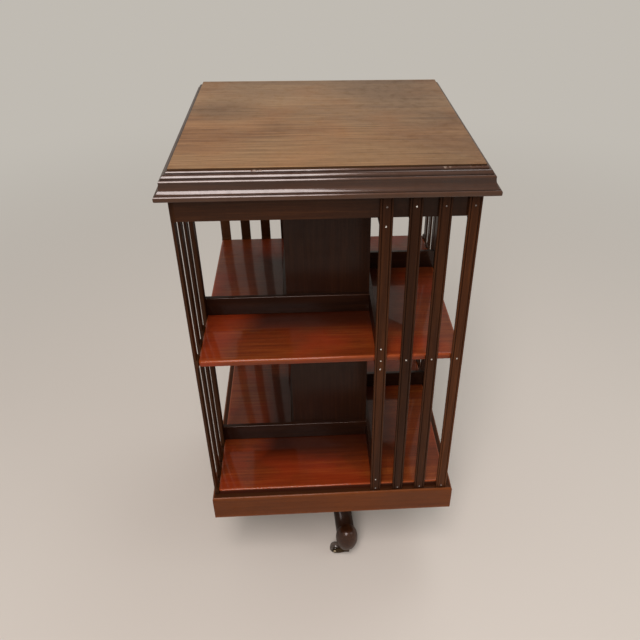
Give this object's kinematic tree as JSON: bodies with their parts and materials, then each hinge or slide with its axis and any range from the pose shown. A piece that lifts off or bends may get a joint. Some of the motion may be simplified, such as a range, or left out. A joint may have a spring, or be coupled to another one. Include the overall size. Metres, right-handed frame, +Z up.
{
  "type": "revolving bookcase",
  "caption": "Square two-tier revolving bookcase in dark polished mahogany, with slatted sides, a moulded top and a turned cross base on castors",
  "frame": {"origin": "bottom centre: the turning axis on the floor", "axes": "+Z up, the front of the case towards -Y"},
  "size_m": [0.48, 0.48, 0.8799],
  "materials": {
    "dark_mahogany": "french polish, glossy",
    "top_mahogany": "french polish, worn satin gloss",
    "shelf_mahogany": "french polish, glossy",
    "core_mahogany": "french polish, glossy",
    "base_mahogany": "french polish, glossy",
    "inner_pine": "bare, dusty",
    "cast_iron": "bare, oiled",
    "spindle_steel": "turned, oiled",
    "brad_steel": "rubbed bright",
    "castor_brass": "tarnished",
    "castor_wheel": "glazed dark brown"
  },
  "bodies": {
    "base": {"castor_plates": "castor_brass", "cross_arm_over": "base_mahogany", "cross_arm_under": "base_mahogany", "spindle": "spindle_steel", "spindle_nut": "cast_iron", "spindle_spider": "cast_iron"},
    "castor_horn_front": {"castor_horn_front": "castor_brass"},
    "castor_wheel_front": {"castor_wheel_front": "castor_wheel"},
    "castor_horn_right": {"castor_horn_right": "castor_brass"},
    "castor_wheel_right": {"castor_wheel_right": "castor_wheel"},
    "castor_horn_back": {"castor_horn_back": "castor_brass"},
    "castor_wheel_back": {"castor_wheel_back": "castor_wheel"},
    "castor_horn_left": {"castor_horn_left": "castor_brass"},
    "castor_wheel_left": {"castor_wheel_left": "castor_wheel"},
    "case": {"bearing_plate": "cast_iron", "bottom_bearer": "inner_pine", "bottom_shelf": "shelf_mahogany", "core_board_back": "core_mahogany", "core_board_front": "core_mahogany", "core_board_left": "core_mahogany", "core_board_right": "core_mahogany", "corner_blocks": "inner_pine", "frieze_rail_back": "dark_mahogany", "frieze_rail_front": "dark_mahogany", "frieze_rail_left": "dark_mahogany", "frieze_rail_right": "dark_mahogany", "head_rails": "core_mahogany", "mid_shelf": "shelf_mahogany", "plinth_rail_back": "shelf_mahogany", "plinth_rail_front": "shelf_mahogany", "plinth_rail_left": "shelf_mahogany", "plinth_rail_right": "shelf_mahogany", "slat_1_back": "dark_mahogany", "slat_1_front": "dark_mahogany", "slat_1_left": "dark_mahogany", "slat_1_right": "dark_mahogany", "slat_2_back": "dark_mahogany", "slat_2_front": "dark_mahogany", "slat_2_left": "dark_mahogany", "slat_2_right": "dark_mahogany", "slat_3_back": "dark_mahogany", "slat_3_front": "dark_mahogany", "slat_3_left": "dark_mahogany", "slat_3_right": "dark_mahogany", "slat_4_back": "dark_mahogany", "slat_4_front": "dark_mahogany", "slat_4_left": "dark_mahogany", "slat_4_right": "dark_mahogany", "slat_brads": "brad_steel", "stop_rails": "core_mahogany", "sub_top": "inner_pine", "top_moulding_back": "dark_mahogany", "top_moulding_front": "dark_mahogany", "top_moulding_left": "dark_mahogany", "top_moulding_right": "dark_mahogany", "top_panel": "top_mahogany", "top_plate": "cast_iron"}
  },
  "joints": [
    {"name": "case_revolve", "type": "hinge", "parent": "base", "child": "case", "pos_m": [0, 0, 0.2113], "axis": [0, 0, 1], "continuous": true},
    {"name": "castor_swivel_front", "type": "hinge", "parent": "base", "child": "castor_horn_front", "pos_m": [0.02827, -0.19142, 0.0268], "axis": [0, 0, 1], "continuous": true},
    {"name": "castor_spin_front", "type": "hinge", "parent": "castor_horn_front", "child": "castor_wheel_front", "pos_m": [0.00509, -0.18521, 0.013], "axis": [-0.2588, -0.9659, 0], "continuous": true},
    {"name": "castor_swivel_right", "type": "hinge", "parent": "base", "child": "castor_horn_right", "pos_m": [0.19142, 0.02827, 0.0268], "axis": [0, 0, 1], "continuous": true},
    {"name": "castor_spin_right", "type": "hinge", "parent": "castor_horn_right", "child": "castor_wheel_right", "pos_m": [0.20042, 0.00602, 0.013], "axis": [0.9272, 0.3746, 0], "continuous": true},
    {"name": "castor_swivel_back", "type": "hinge", "parent": "base", "child": "castor_horn_back", "pos_m": [-0.02827, 0.19142, 0.0268], "axis": [0, 0, 1], "continuous": true},
    {"name": "castor_spin_back", "type": "hinge", "parent": "castor_horn_back", "child": "castor_wheel_back", "pos_m": [-0.02206, 0.21461, 0.013], "axis": [-0.9659, 0.2588, 0], "continuous": true},
    {"name": "castor_swivel_left", "type": "hinge", "parent": "base", "child": "castor_horn_left", "pos_m": [-0.19142, -0.02827, 0.0268], "axis": [0, 0, 1], "continuous": true},
    {"name": "castor_spin_left", "type": "hinge", "parent": "castor_horn_left", "child": "castor_wheel_left", "pos_m": [-0.21368, -0.01928, 0.013], "axis": [-0.3746, -0.9272, 0], "continuous": true}
  ]
}
